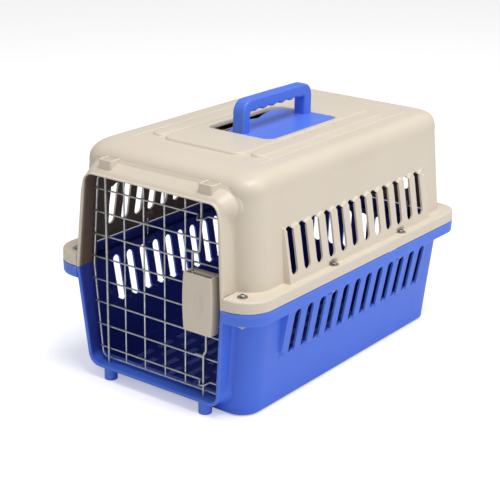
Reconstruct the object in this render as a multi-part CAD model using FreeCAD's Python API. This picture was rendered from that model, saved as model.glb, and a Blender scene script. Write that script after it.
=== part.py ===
import FreeCAD, Part
import math
import os

# Pet transport carrier: two plastic shells bolted together round their seam, a wire door that
# turns on a steel rod, a squeeze latch that pulls two bolts in, and a carry handle on the roof.
# Millimetres. +Z is up, the door faces -Y, and the origin is on the floor under the middle.
# Lengths along Y are counted from the door lip (0) to the back of the flange (LENGTH), and
# every piece is moved back by Y_MIDDLE when it is written.

# ---- driving dimensions --------------------------------------------------------------------
LENGTH = 480.0            # door lip to the back of the flange
FLANGE_HALF = 160.8       # half the width over the flange
SEAM_Z = 148.5            # height of the joint between the shells
ROOF_Z = 301.5            # flat of the roof
GRIP_TOP_Z = 345.0        # top of the carry handle
LATCH_FRONT_Y = -2.5      # face of the latch, just proud of the lip
Y_MIDDLE = (LENGTH + LATCH_FRONT_Y) / 2       # 238.75
WALL = 2.8                # shell thickness

# flange
FLANGE_RADIUS = 38.0      # of the front ears
FLANGE_BACK_RADIUS = 30.0
BEIGE_SKIRT = 15.0        # height of the upper shell's edge
BLUE_SKIRT = 16.0         # height of the lower shell's edge
SKIRT_WALL = 2.6
FLANGE_TOP_Z = SEAM_Z + BEIGE_SKIRT
FLANGE_LOW_Z = SEAM_Z - BLUE_SKIRT

# body above and below the seam
BODY_HALF = 144.3         # half width at the seam
BODY_FRONT = 25.6
BODY_BACK = 466.0
BODY_RADIUS = 30.0        # of the front corners
BODY_BACK_RADIUS = 26.0
UPPER_DRAFT = 0.083       # inward lean of the side walls, mm per mm of height
LOWER_DRAFT = 0.095
FRONT_DRAFT = 0.03
BACK_DRAFT = 0.045
SHOULDER_Z = 273.5        # where the roof's shoulders start
SHOULDER_SIDE = 24.0
SHOULDER_FRONT = 45.0
SHOULDER_BACK = 18.0
SHOULDER_POWER = 2.8      # 2 is an ellipse; more is fuller
BOTTOM_ROUND = 6.0

# door opening and collar
OPEN_HALF = 112.0         # half width of the opening at the seam
OPEN_TOP_HALF = 102.5
OPEN_LOW_HALF = 100.0
OPEN_TOP_Z = 271.0
OPEN_LOW_Z = 20.5
OPEN_RADIUS = 12.0
LIP_WALL = 4.6
LIP_SLOPE = (0.042, 0.06) # how the lip leans back above and below the seam
LIP_DEPTH = 4.0
GROOVE_DEPTH = 1.2
COLLAR_TOP_RISE = 9.0     # how much the collar's roof climbs to the body
COLLAR_FLARE = 4.0        # how much the collar widens to the body
COLLAR_BACK = 36.0
HOOD_X = 79.0             # the two hoods over the upper rod holes
BOSS_X = 77.2             # round posts under the rods' lower holes

# slotted side panels
SLOTS = 12
SLOT_PITCH = 26.4
UPPER_SLOT_Y = 97.5       # the first slot of the upper row
LOWER_SLOT_Y = 107.0      # the first slot of the lower row
SLOT_WIDTH = 13.2
UPPER_BACK_SLOT = (178.0, 231.0)
LOWER_BACK_SLOT = (69.5, 127.5)
UPPER_SLOT = (173.0, 231.0)
LOWER_SLOT = (66.0, 126.0)
PANEL_FRONT_Y = 85.0
PANEL_BACK_Y = 411.0
PANEL_FOOT_HALF = 151.5   # how far the panel stands out at the flange
PANEL_WALL = 3.2
UPPER_PANEL_TOP = 233.0
LOWER_PANEL_TOP = 64.0

# roof
PANEL_RISE = 3.0
ROOF_PANEL = (62.5, 99.5, 391.0, 14.0)       # half width, front, back, corner radius
ROOF_STRIP = (66.0, 88.5, 108.5, 388.0)       # inner, outer, front, back
HATCH = (51.0, 176.0, 328.0, 12.0)            # the handle's opening: half, front, back, radius
HATCH_LIP = 8.0

# screws: one at each front ear, two on each side, two at the back
SCREW_SIDE_X = 152.2      # these four pairs sit in pockets at the foot of the slotted panels
SCREW_SIDE_Y = (176.0, 334.5)
SCREW_EAR = (131.0, 19.0)
SCREW_BACK = (80.0, 472.5)
SCREW_RADIUS = 2.0
HEAD_RADIUS = 3.7
WASHER_RADIUS = 6.4
NUT_RADIUS = 4.0
POCKET_RADIUS = 7.0
POCKET_HEIGHT = 4.6

# door wires
ROD_Y = 18.0              # plane of the hinge rod and of the bolts
ROD_RADIUS = 1.6
WIRE_RADIUS = 1.1
FRAME_RADIUS = 1.4
HINGE_X = -80.0
BOLT_Y = ROD_Y - 0.3      # the bolts run just in front of the level wires
UPPER_BOLT_X = 71.0
LOWER_BOLT_X = 74.6
ROW_Y = ROD_Y + ROD_RADIUS + WIRE_RADIUS
POST_Y = ROW_Y + 2 * WIRE_RADIUS
FRAME_Y = ROW_Y + WIRE_RADIUS + FRAME_RADIUS
ROWS = 8
ROW_TOP_Z = 249.8
ROW_PITCH = 29.95
POSTS_X = (-54.5, -22.8, 10.0, 42.3)
FRAME_HALF = 106.5        # at the seam
FRAME_TOP_HALF = 97.5
FRAME_LOW_HALF = 94.0
FRAME_TOP_Z = 265.5
FRAME_LOW_Z = 26.0
FRAME_BEND = 7.0
GUIDE_REACH = 4.4         # half width of the bow that guides a bolt

# bolts of the latch
BOLT_TRAVEL = 9.0
BOLT_REACH = 6.5          # how far each bolt sits in its socket
SOCKET_GAP = 0.35

# latch
COVER = (59.5, 100.8, 111.7, 184.4)           # left, right, bottom, top
COVER_WALL = 2.4
COVER_DEPTH = 14.5        # how far the cover's side walls reach back
WEB_Y = (10.6, 12.6)      # the web inside the cover, which carries the cam slots
BASE = (54.2, 95.5, 115.0, 180.0)
BASE_FRONT_Y = 14.2
BASE_BACK_Y = FRAME_Y + 3.0
UPPER_TAIL_X = 57.8
LOWER_TAIL_X = 78.6
UPPER_PIN = (66.5, 172.0)
LOWER_PIN = (LOWER_TAIL_X, 126.0)
PIN_RADIUS = 1.2
CAM_GAP = 0.35
TONGUE = (78.0, 84.0, 148.0)                  # left, right and height of the base's tongue


# ---- small helpers -------------------------------------------------------------------------
def vec(x, y, z):
    """A point or direction."""
    return FreeCAD.Vector(x, y, z)


def box(x0, x1, y0, y1, z0, z1):
    """A block between two corners."""
    return Part.makeBox(x1 - x0, y1 - y0, z1 - z0, vec(x0, y0, z0))


def rod(start, end, radius):
    """A round bar between two points."""
    a, b = vec(*start), vec(*end)
    return Part.makeCylinder(radius, (b - a).Length, a, b - a)


def fuse(shapes):
    """One solid from pieces that overlap."""
    shapes = list(shapes)
    whole = shapes[0]
    if len(shapes) > 1:
        whole = whole.multiFuse(shapes[1:])
    return whole.removeSplitter()


def outline(half, front, back, radius, z, back_radius=None):
    """A closed rounded rectangle at height z, symmetric about X = 0."""
    return rounded(-half, half, front, back, radius, lambda a, b: vec(a, b, z), back_radius)


def rounded(a0, a1, b0, b1, radius, place, far_radius=None):
    """A closed rounded rectangle in the plane that place(a, b) gives."""
    near, far = radius, radius if far_radius is None else far_radius
    s, t = near * (1 - math.sqrt(0.5)), far * (1 - math.sqrt(0.5))
    edges = []
    corners = [
        ((a1 - near, b0), (a1 - s, b0 + s), (a1, b0 + near)),
        ((a1, b1 - far), (a1 - t, b1 - t), (a1 - far, b1)),
        ((a0 + far, b1), (a0 + t, b1 - t), (a0, b1 - far)),
        ((a0, b0 + near), (a0 + s, b0 + s), (a0 + near, b0)),
    ]
    for i, (start, middle, end) in enumerate(corners):
        edges.append(Part.Arc(place(*start), place(*middle), place(*end)).toShape())
        following = corners[(i + 1) % 4][0]
        edges.append(Part.LineSegment(place(*end), place(*following)).toShape())
    return Part.Wire(edges)


def loft(wires):
    """A closed solid through the outlines, straight between them."""
    return Part.makeLoft(wires, True, True)


def prism(points, direction):
    """A flat polygon swept along a direction."""
    face = Part.Face(Part.makePolygon([vec(*p) for p in points] + [vec(*points[0])]))
    return face.extrude(vec(*direction))


def bent_wire(points, bend, radius):
    """A round wire through points, with a tangent arc of the given radius at each inner point."""
    corners = [vec(*p) for p in points]
    edges = []
    start = corners[0]
    for before, corner, after in zip(corners, corners[1:], corners[2:]):
        back = (before - corner).normalize()
        on = (after - corner).normalize()
        half_turn = (math.pi - back.getAngle(on)) / 2
        reach = bend * math.tan(half_turn)
        a, b = corner + back * reach, corner + on * reach
        inward = (back + on).normalize()
        middle = corner + inward * (bend / math.cos(half_turn) - bend)
        edges.append(Part.LineSegment(start, a).toShape())
        edges.append(Part.Arc(a, middle, b).toShape())
        start = b
    edges.append(Part.LineSegment(start, corners[-1]).toShape())
    path = Part.Wire(edges)
    first = (corners[1] - corners[0]).normalize()
    section = Part.Wire(Part.Circle(corners[0], first, radius).toShape())
    return path.makePipeShell([section], True, False, 2)


def mirrored(shape):
    """The same shape on the other side of the middle plane X = 0."""
    return shape.mirror(vec(0, 0, 0), vec(1, 0, 0))


# ---- body of the shells --------------------------------------------------------------------
def body(upper, inset, reach=0.0):
    """The shell's filled body, drawn in by inset; reach carries it past the seam."""
    sign, side_draft = (1, UPPER_DRAFT) if upper else (-1, LOWER_DRAFT)
    levels = []

    def level(rise, side=0.0, front=0.0, back=0.0):
        """One outline at a height above (or depth below) the seam."""
        levels.append(outline(
            BODY_HALF - side_draft * rise - side - inset,
            BODY_FRONT + FRONT_DRAFT * rise + front + inset,
            BODY_BACK - BACK_DRAFT * rise - back - inset,
            BODY_RADIUS - inset / 2,
            SEAM_Z + sign * rise,
            BODY_BACK_RADIUS - inset / 2,
        ))

    level(-reach)
    if upper:
        straight = SHOULDER_Z - SEAM_Z
        height = ROOF_Z - SHOULDER_Z - inset
        turns = (SHOULDER_SIDE, SHOULDER_FRONT, SHOULDER_BACK)
        power = SHOULDER_POWER
    else:
        straight = SEAM_Z - BOTTOM_ROUND
        height = BOTTOM_ROUND - inset
        turns = (BOTTOM_ROUND, BOTTOM_ROUND, BOTTOM_ROUND)
        power = 2.0
    level(straight)
    steps = 6
    for i in range(1, steps + 1):
        turn = math.radians(90.0 * i / steps)
        in_share = 1 - max(math.cos(turn), 0.0) ** (2 / power)
        up_share = math.sin(turn) ** (2 / power)
        level(straight + height * up_share, *[t * in_share for t in turns])
    return loft(levels)


def slot_panel(upper, inset):
    """The wedge that stands out of each side wall and holds the slots, drawn in by inset."""
    if upper:
        foot, top, draft = FLANGE_TOP_Z - SKIRT_WALL, UPPER_PANEL_TOP, UPPER_DRAFT
    else:
        foot, top, draft = FLANGE_LOW_Z + SKIRT_WALL, LOWER_PANEL_TOP, LOWER_DRAFT
    flush = BODY_HALF - draft * abs(top - SEAM_Z)
    deep = flush - 12
    front, back = PANEL_FRONT_Y + inset, PANEL_BACK_Y - inset
    points = [
        (deep, front, SEAM_Z),
        (PANEL_FOOT_HALF - inset, front, SEAM_Z),
        (PANEL_FOOT_HALF - inset, front, foot),
        (flush - inset, front, top),
        (deep, front, top),
    ]
    wedge = prism(points, (0, back - front, 0))
    return [wedge, mirrored(wedge)]


def slots(low, high, first_y):
    """The row of upright slots with round ends, through both side walls."""
    cuts = []
    radius = SLOT_WIDTH / 2
    for i in range(SLOTS):
        y = first_y + i * SLOT_PITCH
        outer = BODY_HALF + 20
        start = rod((-outer, y, low + radius), (outer, y, low + radius), radius)
        end = rod((-outer, y, high - radius), (outer, y, high - radius), radius)
        middle = box(-outer, outer, y - radius, y + radius, low + radius, high - radius)
        cuts += [start, end, middle]
    return cuts


def back_slots(low, high, places):
    """The row of upright slots with round ends, through the back wall."""
    cuts = []
    radius = SLOT_WIDTH / 2
    y0, y1 = BODY_BACK - 20, BODY_BACK + 20
    for x in places:
        cuts += [rod((x, y0, low + radius), (x, y1, low + radius), radius),
                 rod((x, y0, high - radius), (x, y1, high - radius), radius),
                 box(x - radius, x + radius, y0, y1, low + radius, high - radius)]
    return cuts


def flange(upper):
    """The ledge and skirt round the seam, open over the cabin."""
    z0, z1 = (SEAM_Z, FLANGE_TOP_Z) if upper else (FLANGE_LOW_Z, SEAM_Z)
    outer = Part.Face(outline(FLANGE_HALF, 0, LENGTH, FLANGE_RADIUS, z0, FLANGE_BACK_RADIUS))
    whole = outer.extrude(vec(0, 0, z1 - z0))
    inner_half = FLANGE_HALF - SKIRT_WALL
    inner = outline(inner_half, SKIRT_WALL, LENGTH - SKIRT_WALL, FLANGE_RADIUS - SKIRT_WALL,
                    z0 if upper else z0 + SKIRT_WALL, FLANGE_BACK_RADIUS - SKIRT_WALL)
    hollow = Part.Face(inner).extrude(vec(0, 0, z1 - z0 - SKIRT_WALL))
    return whole.cut(hollow)


# ---- door collar ---------------------------------------------------------------------------
def opening_outline(upper, grow, rise, y):
    """Half of the door opening's outline at depth y: straight at the seam, round at the far end."""
    if upper:
        far, far_half, sign = OPEN_TOP_Z + grow + rise, OPEN_TOP_HALF + grow, 1
    else:
        far, far_half, sign = OPEN_LOW_Z - grow - rise, OPEN_LOW_HALF + grow, -1
    radius = OPEN_RADIUS + grow
    half = OPEN_HALF + grow
    lean = (half - far_half) / abs(far - SEAM_Z)
    shoulder = far - sign * radius
    side = far_half + lean * radius
    bulge = radius * (1 - math.sqrt(0.5))
    right = [
        vec(half, y, SEAM_Z),
        vec(side, y, shoulder),
        vec(far_half - bulge + lean * radius / 2, y, far - sign * bulge),
        vec(far_half - radius, y, far),
    ]
    left = [vec(-p.x, p.y, p.z) for p in right]
    edges = [
        Part.LineSegment(right[0], right[1]).toShape(),
        Part.Arc(right[1], right[2], right[3]).toShape(),
        Part.LineSegment(right[3], left[3]).toShape(),
        Part.Arc(left[3], left[2], left[1]).toShape(),
        Part.LineSegment(left[1], left[0]).toShape(),
        Part.LineSegment(left[0], right[0]).toShape(),
    ]
    return Part.Wire(edges)


def opening_space(upper, grow, y0, y1, rise=0.0, flare=0.0):
    """The filled space of the opening between two depths, taller and wider at the far depth."""
    front = opening_outline(upper, grow, 0.0, y0)
    back = opening_outline(upper, grow + flare, rise, y1)
    return loft([front, back])


def front_trim(upper):
    """The space in front of the leaning lip."""
    sign, slope = (1, LIP_SLOPE[0]) if upper else (-1, LIP_SLOPE[1])
    tall = 160.0
    points = [
        (-FLANGE_HALF, 0, SEAM_Z),
        (-FLANGE_HALF, slope * tall, SEAM_Z + sign * tall),
        (-FLANGE_HALF, -20, SEAM_Z + sign * tall),
        (-FLANGE_HALF, -20, SEAM_Z),
    ]
    return prism(points, (2 * FLANGE_HALF, 0, 0))


def collar(upper):
    """The tube round the door, flaring to the body, and the lip that stands out from it."""
    rise = COLLAR_TOP_RISE if upper else 3.0
    neck = LIP_WALL - GROOVE_DEPTH
    tube = opening_space(upper, neck, -2.0, COLLAR_BACK, rise, COLLAR_FLARE)
    lip = opening_space(upper, LIP_WALL, -2.0, 16.0)
    lip = lip.common(front_trim(upper).translated(vec(0, LIP_DEPTH, 0)))
    return fuse([tube, lip]).cut(front_trim(upper))


def socket_hood(x):
    """The open-topped box over a rod's upper hole."""
    outer = box(x - 13.5, x + 13.5, 12, COLLAR_BACK + 4, OPEN_TOP_Z + 1, 292.5)
    pocket = prism([(x - 10.5, 15.5, 293), (x + 10.5, 15.5, 293),
                    (x + 10.5, 30, 293), (x - 10.5, 24, 293)], (0, 0, -8.0))
    return outer.cut(pocket)


def pockets(upper, outside):
    """The small round pockets that make room for the side screws at the panels' foot: what is
    added behind each and what is cut."""
    sign, foot = (1, FLANGE_TOP_Z) if upper else (-1, FLANGE_LOW_Z)
    added, cut = [], []
    for x, y in screw_places():
        if abs(x) == SCREW_SIDE_X:
            start = (x, y, foot - sign * 1.0)
            tall = (x, y, foot + sign * (POCKET_HEIGHT + 2.4))
            added.append(rod(start, tall, POCKET_RADIUS + 2.4).common(outside))
            cut.append(rod((x, y, foot), (x, y, foot + sign * POCKET_HEIGHT), POCKET_RADIUS))
    return added, cut


def rod_hole(x, y, z0, z1):
    """The running hole for the hinge rod or for a bolt."""
    return rod((x, y, z0), (x, y, z1), ROD_RADIUS + SOCKET_GAP)


# ---- the two shells ------------------------------------------------------------------------
def upper_shell():
    """The beige top half."""
    outside = fuse([body(True, 0.0)] + slot_panel(True, 0.0) + [collar(True)])
    flat = PANEL_RISE + 1
    half, front, back, radius = ROOF_PANEL
    panel = Part.Face(outline(half, front, back, radius, ROOF_Z - 1)).extrude(vec(0, 0, flat))
    inner, outer, front, back = ROOF_STRIP
    strip = Part.Face(rounded(inner, outer, front, back, 11.0,
                              lambda a, b: vec(a, b, ROOF_Z - 1))).extrude(vec(0, 0, flat))
    outside = fuse([outside, panel, strip, mirrored(strip)])
    inside = fuse([body(True, WALL, 5.0)] + slot_panel(True, PANEL_WALL))
    half, front, back, radius = HATCH
    rim = outline(half + 2.6, front - 2.6, back + 2.6, radius + 2.6, ROOF_Z - HATCH_LIP)
    rim = Part.Face(rim).extrude(vec(0, 0, HATCH_LIP))
    shell = outside.cut(inside)
    shell = fuse([shell, flange(True).cut(body(True, 1.0)), rim])
    behind, pocket_cuts = pockets(True, outside)
    shell = fuse([shell] + [socket_hood(x) for x in (-HOOD_X, HOOD_X)] + behind)
    hatch = Part.Face(outline(half, front, back, radius, ROOF_Z - 30)).extrude(vec(0, 0, 60))
    cuts = [opening_space(True, 0.0, -5.0, 60.0), hatch]
    cuts += slots(*UPPER_SLOT, UPPER_SLOT_Y)
    cuts += back_slots(*UPPER_BACK_SLOT, [i * SLOT_PITCH for i in range(-3, 4)])
    low, high = OPEN_TOP_Z - 1, OPEN_TOP_Z + BOLT_REACH + 1.2
    cuts += [rod_hole(HINGE_X, ROD_Y, low, high), rod_hole(UPPER_BOLT_X, BOLT_Y, low, high)]
    cuts += [box(-200, 200, -20, 500, SEAM_Z - 20, SEAM_Z)]
    cuts += [rod((x, y, SEAM_Z), (x, y, FLANGE_TOP_Z + 1), SCREW_RADIUS + 0.2)
             for x, y in screw_places()]
    return shell.cut(cuts + pocket_cuts).removeSplitter()


def lower_shell():
    """The blue bottom half with its ribbed floor."""
    outside = fuse([body(False, 0.0)] + slot_panel(False, 0.0) + [collar(False)])
    inside = fuse([body(False, WALL, 5.0)] + slot_panel(False, PANEL_WALL))
    shell = outside.cut(inside)
    shell = fuse([shell, flange(False).cut(body(False, 1.0))])
    bosses = [rod((x, ROD_Y, 0.0), (x, ROD_Y, OPEN_LOW_Z), 8.4) for x in (-BOSS_X, BOSS_X)]
    behind, pocket_cuts = pockets(False, outside)
    shell = fuse([shell] + bosses + floor_ribs() + behind)
    cuts = [opening_space(False, 0.0, -5.0, 60.0)]
    cuts += slots(*LOWER_SLOT, LOWER_SLOT_Y)
    cuts += back_slots(*LOWER_BACK_SLOT, [(i + 0.5) * SLOT_PITCH for i in range(-3, 3)])
    low, high = OPEN_LOW_Z - BOLT_REACH - 3, OPEN_LOW_Z + 1
    cuts += [rod_hole(HINGE_X, ROD_Y, low, high), rod_hole(LOWER_BOLT_X, BOLT_Y, low, high)]
    cuts += [box(-200, 200, -20, 500, SEAM_Z, SEAM_Z + 20)]
    cuts += [rod((x, y, FLANGE_LOW_Z - 1), (x, y, SEAM_Z), SCREW_RADIUS + 0.2)
             for x, y in screw_places()]
    return shell.cut(cuts + pocket_cuts).removeSplitter()


def floor_ribs():
    """Short raised dashes on the cabin floor, in staggered rows."""
    ribs = []
    for column in range(9):
        x = (column - 4) * 22.0
        start = 66.0 if column % 2 else 84.0
        for step in range(9):
            y = start + step * 40.0
            ribs.append(box(x - 4.0, x + 4.0, y, y + 26.0, WALL - 0.5, WALL + 2.2))
    return ribs


# ---- handle --------------------------------------------------------------------------------
def carry_handle():
    """The one-piece handle: a plate that fills most of the hatch, and a squared U grip."""
    half, front, back, radius = HATCH
    gap = 0.4
    top = ROOF_Z + PANEL_RISE - 0.8
    plate = Part.Face(outline(half - gap, front + gap, back - gap, radius, top - 3.0))
    plate = plate.extrude(vec(0, 0, 3.0))
    cut = prism([(-60, front - 5, top - 10), (-16, front - 5, top - 10), (-30, 232, top - 10),
                 (-24, 252, top - 10), (-31, 272, top - 10), (-36, 292, top - 10),
                 (-33, 306, top - 10), (-22, 316, top - 10), (-22, back + 5, top - 10),
                 (-60, back + 5, top - 10)], (0, 0, 20))
    plate = plate.cut(cut)
    base = top - 1.5
    u_outer = rounded(front + 1, back - 1, base - 30, GRIP_TOP_Z, 15.0, lambda a, b: vec(-9, a, b))
    u_inner = rounded(front + 15, back - 18, base - 40, GRIP_TOP_Z - 15, 6.0,
                      lambda a, b: vec(-9, a, b))
    grip = Part.Face(u_outer).extrude(vec(18, 0, 0))
    grip = grip.cut(Part.Face(u_inner).extrude(vec(18, 0, 0)))
    grip = grip.cut(box(-20, 20, 0, LENGTH, 0, base))
    return fuse([plate, grip])


# ---- fasteners -----------------------------------------------------------------------------
def screw_places():
    """Where the eight screws go through the flange."""
    places = []
    for side in (-1, 1):
        places.append((side * SCREW_EAR[0], SCREW_EAR[1]))
        places += [(side * SCREW_SIDE_X, y) for y in SCREW_SIDE_Y]
        places.append((side * SCREW_BACK[0], SCREW_BACK[1]))
    return places


def flange_screws():
    """Pan-head screws with a cross recess."""
    made = []
    for x, y in screw_places():
        z = FLANGE_TOP_Z + 1.0
        end = 5.0 if abs(x) == SCREW_SIDE_X else 8.0
        shank = rod((x, y, FLANGE_LOW_Z - end), (x, y, z), SCREW_RADIUS)
        head = rod((x, y, z), (x, y, z + 2.4), HEAD_RADIUS)
        rim = [e for e in head.Edges if abs(e.BoundBox.ZMin - z - 2.4) < 1e-6]
        head = head.makeFillet(1.4, [e for e in rim if e.Length > 10])
        cross = [box(x - 2.2, x + 2.2, y - 0.45, y + 0.45, z + 1.0, z + 3),
                 box(x - 0.45, x + 0.45, y - 2.2, y + 2.2, z + 1.0, z + 3)]
        made.append(fuse([shank, head]).cut(cross))
    return Part.Compound(made)


def flange_washers():
    """Flat washers under the heads."""
    made = []
    for x, y in screw_places():
        disc = rod((x, y, FLANGE_TOP_Z), (x, y, FLANGE_TOP_Z + 1.0), WASHER_RADIUS)
        made.append(disc.cut(rod((x, y, 0), (x, y, 300), SCREW_RADIUS + 0.2)))
    return Part.Compound(made)


def flange_nuts():
    """Hexagon nuts under the flange."""
    made = []
    for x, y in screw_places():
        radius, tall = (NUT_RADIUS, 3.2) if abs(x) == SCREW_SIDE_X else (5.2, 6.0)
        points = [(x + radius * math.cos(math.radians(60 * i)),
                   y + radius * math.sin(math.radians(60 * i)), FLANGE_LOW_Z - tall)
                  for i in range(6)]
        hexagon = prism(points, (0, 0, tall))
        made.append(hexagon.cut(rod((x, y, 0), (x, y, 300), SCREW_RADIUS + 0.05)))
    return Part.Compound(made)


# ---- door ----------------------------------------------------------------------------------
def frame_half(z):
    """Half width of the door's frame wire at a height."""
    if z >= SEAM_Z:
        share = (z - SEAM_Z) / (FRAME_TOP_Z - SEAM_Z)
        return FRAME_HALF + (FRAME_TOP_HALF - FRAME_HALF) * share
    share = (SEAM_Z - z) / (SEAM_Z - FRAME_LOW_Z)
    return FRAME_HALF + (FRAME_LOW_HALF - FRAME_HALF) * share


def door_frame_wire():
    """The closed wire round the door, widest at the seam."""
    route = [(0, FRAME_TOP_Z), (FRAME_TOP_HALF, FRAME_TOP_Z), (FRAME_HALF, SEAM_Z),
             (FRAME_LOW_HALF, FRAME_LOW_Z), (-FRAME_LOW_HALF, FRAME_LOW_Z),
             (-FRAME_HALF, SEAM_Z), (-FRAME_TOP_HALF, FRAME_TOP_Z), (-0.5, FRAME_TOP_Z)]
    return bent_wire([(x, FRAME_Y, z) for x, z in route], FRAME_BEND, FRAME_RADIUS)


def door_row(number):
    """A level wire of the grille; the first and last bow out round the bolt as its guides."""
    z = ROW_TOP_Z - number * ROW_PITCH
    half = frame_half(z) + 1.0
    if number not in (0, ROWS - 1):
        return rod((-half, ROW_Y, z), (half, ROW_Y, z), WIRE_RADIUS)
    bolt = UPPER_BOLT_X if number == 0 else LOWER_BOLT_X
    front = BOLT_Y - ROD_RADIUS - WIRE_RADIUS - 0.5
    left, right = bolt - GUIDE_REACH, bolt + GUIDE_REACH
    route = [(-half, ROW_Y, z), (left - 3.0, ROW_Y, z),
             (left, front, z - 5.0), (right, front, z - 2.5),
             (right + 3.5, ROW_Y, z), (half, ROW_Y, z)]
    return bent_wire(route, 2.0, WIRE_RADIUS)


def door_post(x):
    """An upright wire of the grille."""
    inside = FRAME_RADIUS + 0.03
    return rod((x, POST_Y, FRAME_LOW_Z + inside), (x, POST_Y, FRAME_TOP_Z - inside), WIRE_RADIUS)


def hinge_rod():
    """The thicker rod that the door turns on, let into both shells."""
    return rod((HINGE_X, ROD_Y, OPEN_LOW_Z - BOLT_REACH),
               (HINGE_X, ROD_Y, OPEN_TOP_Z + BOLT_REACH), ROD_RADIUS)


# ---- latch ---------------------------------------------------------------------------------
def upper_bolt():
    """The bolt into the upper shell, bent to a foot, with its tail down into the latch."""
    route = [(UPPER_BOLT_X, BOLT_Y, OPEN_TOP_Z + BOLT_REACH), (UPPER_BOLT_X, BOLT_Y, 252.0),
             (68.4, BOLT_Y, 203.6), (47.5, BOLT_Y, 203.0)]
    bar = bent_wire(route, 5.0, ROD_RADIUS)
    tail = rod((UPPER_TAIL_X, BOLT_Y, 203.4), (UPPER_TAIL_X, BOLT_Y, 168.0), ROD_RADIUS - 0.1)
    pin_x, pin_z = UPPER_PIN
    pin = bent_wire([(UPPER_TAIL_X, BOLT_Y, pin_z), (pin_x, BOLT_Y, pin_z),
                     (pin_x, WEB_Y[0] - 0.6, pin_z)], 1.8, PIN_RADIUS)
    return fuse([bar, tail, pin])


def lower_bolt():
    """The bolt into the lower shell, with a short foot at the step below the latch."""
    route = [(LOWER_BOLT_X, BOLT_Y, OPEN_LOW_Z - BOLT_REACH), (LOWER_BOLT_X, BOLT_Y, 74.5),
             (LOWER_TAIL_X, BOLT_Y, 81.5), (LOWER_TAIL_X, BOLT_Y, 128.0)]
    bar = bent_wire(route, 3.4, ROD_RADIUS)
    pin = rod((LOWER_PIN[0], BOLT_Y, LOWER_PIN[1]),
              (LOWER_PIN[0], WEB_Y[0] - 0.6, LOWER_PIN[1]), PIN_RADIUS)
    foot = rod((LOWER_BOLT_X, BOLT_Y, 74.0), (62.0, BOLT_Y, 73.2), ROD_RADIUS * 0.95)
    return fuse([bar, pin, foot])


def cam_slot(x, z, rise):
    """The slanted slot that drives a bolt's pin, from its rest end to its pulled end."""
    radius = PIN_RADIUS + CAM_GAP
    near, far = WEB_Y[0] - 1, WEB_Y[1] + 1
    start, end = (x, z), (x + BOLT_TRAVEL, z + rise * BOLT_TRAVEL)
    ends = [rod((a, near, b), (a, far, b), radius) for a, b in (start, end)]
    dx, dz = radius * math.sqrt(0.5), -rise * radius * math.sqrt(0.5)
    points = [(start[0] + dx, near, start[1] + dz), (end[0] + dx, near, end[1] + dz),
              (end[0] - dx, near, end[1] - dz), (start[0] - dx, near, start[1] - dz)]
    return ends + [prism(points, (0, far - near, 0))]


def cover_outline(y, inset):
    """The cover's outline at depth y: straight ends and gently bowed sides."""
    left, right, low, high = COVER
    left, right = left + inset, right - inset
    bulge = 2.0
    middle = (low + high) / 2
    return Part.Wire([
        Part.LineSegment(vec(left, y, low), vec(right, y, low)).toShape(),
        Part.Arc(vec(right, y, low), vec(right + bulge, y, middle), vec(right, y, high)).toShape(),
        Part.LineSegment(vec(right, y, high), vec(left, y, high)).toShape(),
        Part.Arc(vec(left, y, high), vec(left - bulge, y, middle), vec(left, y, low)).toShape(),
    ])


def latch_cover():
    """The sliding front of the latch: a thumb plate with a finger dish, two walls and a web."""
    left, right, low, high = COVER
    y, deep = LATCH_FRONT_Y, COVER_DEPTH
    block = Part.Face(cover_outline(y, 0.0)).extrude(vec(0, deep, 0))
    inside = Part.Face(cover_outline(y + COVER_WALL, COVER_WALL)).extrude(vec(0, deep, 0))
    inside = fuse([inside, inside.translated(vec(0, 0, 3)), inside.translated(vec(0, 0, -3))])
    web = box(left + 0.5, right - 0.5, WEB_Y[0], WEB_Y[1], low + 6, high - 6)
    dish = Part.makeSphere(75.0, vec((left + right) / 2, y - 73.8, (low + high) / 2))
    made = fuse([block.cut(inside), web]).cut(dish)
    slit = box(TONGUE[0] - 0.4, TONGUE[1] + BOLT_TRAVEL + 0.4, WEB_Y[0] - 1, WEB_Y[1] + 1,
               TONGUE[2] - 1.9, TONGUE[2] + 1.9)
    return made.cut(cam_slot(*UPPER_PIN, -1) + cam_slot(*LOWER_PIN, 1) + [slit])


def latch_base():
    """The back of the latch, clipped over the grille wires and fixed to the door."""
    left, right, low, high = BASE
    floor = BASE_BACK_Y - 2.2
    block = box(left, right, BASE_FRONT_Y, BASE_BACK_Y, low, high)
    hollow = box(left + 1.6, right - 2.2, BASE_FRONT_Y - 1, floor, low + 2.2, high - 2.2)
    made = block.cut(hollow)
    lug = box(left + 0.5, UPPER_TAIL_X + 5, BOLT_Y - 3.2, floor + 1, 139.0, 142.0)
    tongue = box(TONGUE[0], TONGUE[1], WEB_Y[0] - 2.0, floor + 1, TONGUE[2] - 1.5, TONGUE[2] + 1.5)
    head = box(TONGUE[0], TONGUE[1], WEB_Y[0] - 2.4, WEB_Y[0] - 0.4, TONGUE[2] - 4, TONGUE[2] + 4)
    made = fuse([made, lug, tongue, head])
    gap = ROD_RADIUS + 0.4
    cuts = []
    for x, z in ((UPPER_TAIL_X, high), (LOWER_TAIL_X, low)):
        cuts.append(rod((x, BOLT_Y, z - 5), (x, BOLT_Y, z + 5), gap))
        cuts.append(box(x - gap, x + gap, 5, BOLT_Y, z - 4, z + 4))
    for number in range(ROWS):
        z = ROW_TOP_Z - number * ROW_PITCH
        cuts.append(rod((0, ROW_Y, z), (120, ROW_Y, z), WIRE_RADIUS + 0.15))
    return made.cut(cuts)


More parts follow.
